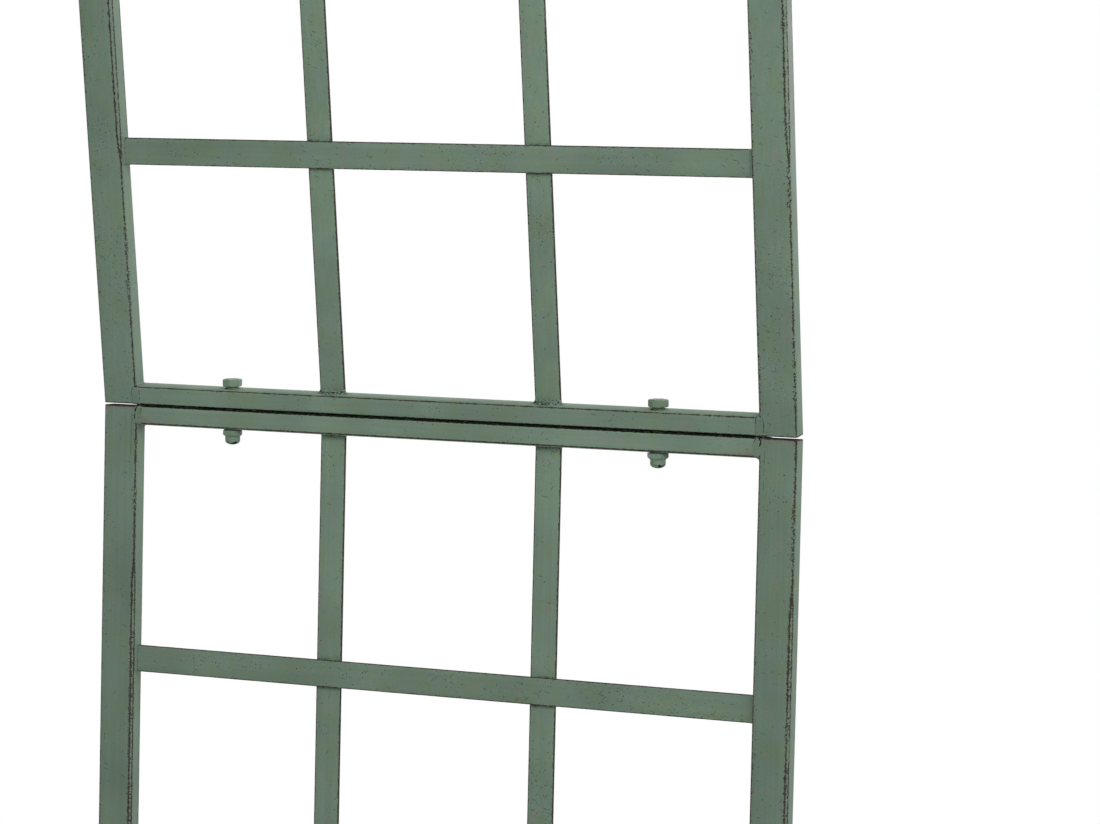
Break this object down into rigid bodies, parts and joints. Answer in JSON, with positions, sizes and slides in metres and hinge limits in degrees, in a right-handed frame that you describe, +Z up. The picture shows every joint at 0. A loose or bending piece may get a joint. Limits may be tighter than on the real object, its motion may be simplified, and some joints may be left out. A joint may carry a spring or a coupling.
{
  "type": "metal garden trellis",
  "caption": "Tall free-standing steel grid trellis: two welded panels of flat bar in tube frames, stacked and bolted at a seam, with ground legs.",
  "frame": {"origin": "at soil level, midway between the two legs and at the lower frame's mid-depth", "axes": "+Z up along the lower posts; +Y towards the back; the crossbars and the pictured side face -Y; +X to the right seen from the front"},
  "size_m": [0.5236, 0.1533, 1.9459],
  "materials": {
    "post_paint": "matt sage green paint, distressed, with dark worn edges",
    "rail_paint": "matt sage green paint, distressed, with dark worn edges",
    "bar_paint": "matt sage green paint, distressed, with dark worn edges",
    "fastener_paint": "matt sage green paint over steel",
    "plug_plastic": "matt dark green plastic"
  },
  "bodies": {
    "lower_panel": {"lower_bottom_rail": "rail_paint", "lower_crossbar_1": "bar_paint", "lower_crossbar_2": "bar_paint", "lower_crossbar_3": "bar_paint", "lower_crossbar_4": "bar_paint", "lower_left_post": "post_paint", "lower_right_post": "post_paint", "lower_seam_rail": "rail_paint", "lower_upright_bar_1": "bar_paint", "lower_upright_bar_2": "bar_paint"},
    "upper_panel": {"left_top_plug": "plug_plastic", "right_top_plug": "plug_plastic", "upper_crossbar_1": "bar_paint", "upper_crossbar_2": "bar_paint", "upper_crossbar_3": "bar_paint", "upper_crossbar_4": "bar_paint", "upper_left_post": "post_paint", "upper_right_post": "post_paint", "upper_seam_rail": "rail_paint", "upper_top_rail": "rail_paint", "upper_upright_bar_1": "bar_paint", "upper_upright_bar_2": "bar_paint"},
    "bolts": {"left_bolt": "fastener_paint", "left_cap_nut": "fastener_paint", "right_bolt": "fastener_paint", "right_cap_nut": "fastener_paint"}
  },
  "joints": [
    {"name": "seam_tilt", "type": "hinge", "parent": "lower_panel", "child": "upper_panel", "pos_m": [0, -0.0045, 0.9114], "axis": [-1, 0, 0], "range_deg": [0, 9]},
    {"name": "bolt_rock", "type": "hinge", "parent": "lower_panel", "child": "bolts", "pos_m": [0, -0.0045, 0.9114], "axis": [-1, 0, 0], "range_deg": [0, 2.7]}
  ],
  "couplings": [
    {"joint": "bolt_rock", "follows": "seam_tilt", "ratio": 0.3}
  ]
}
